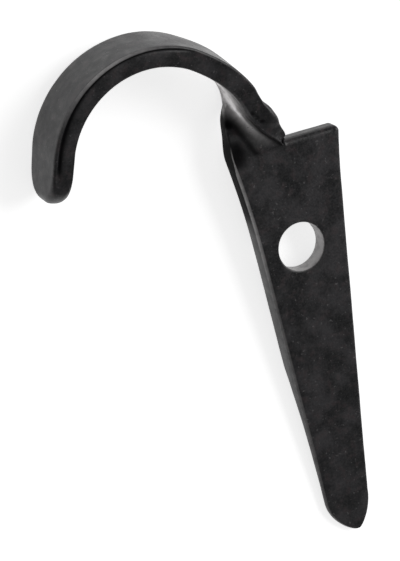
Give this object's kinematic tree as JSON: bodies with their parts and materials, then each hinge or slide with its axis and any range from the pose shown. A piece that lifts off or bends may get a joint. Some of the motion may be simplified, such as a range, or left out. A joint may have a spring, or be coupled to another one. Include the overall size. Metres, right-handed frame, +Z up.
{
  "type": "twisted crampet",
  "caption": "Forged flat-bar wall hook for a 25 mm pipe: pointed tang with a fixing hole, struck shoulder, and a strip twisted a quarter turn into an open hook.",
  "frame": {"origin": "centre of the fixing hole, half-way through the tang's thickness", "axes": "as it lies on its back on a level surface: +Y along the tang from the point to the shoulder and hook, +X across the tang away from the hook, +Z up from the tang's front face; the tang rises 4.8 degrees towards +Y"},
  "size_m": [0.0447, 0.0791, 0.0113],
  "materials": {
    "black_steel": "satin"
  },
  "bodies": {
    "root": {"crampet": "black_steel"}
  },
  "joints": []
}
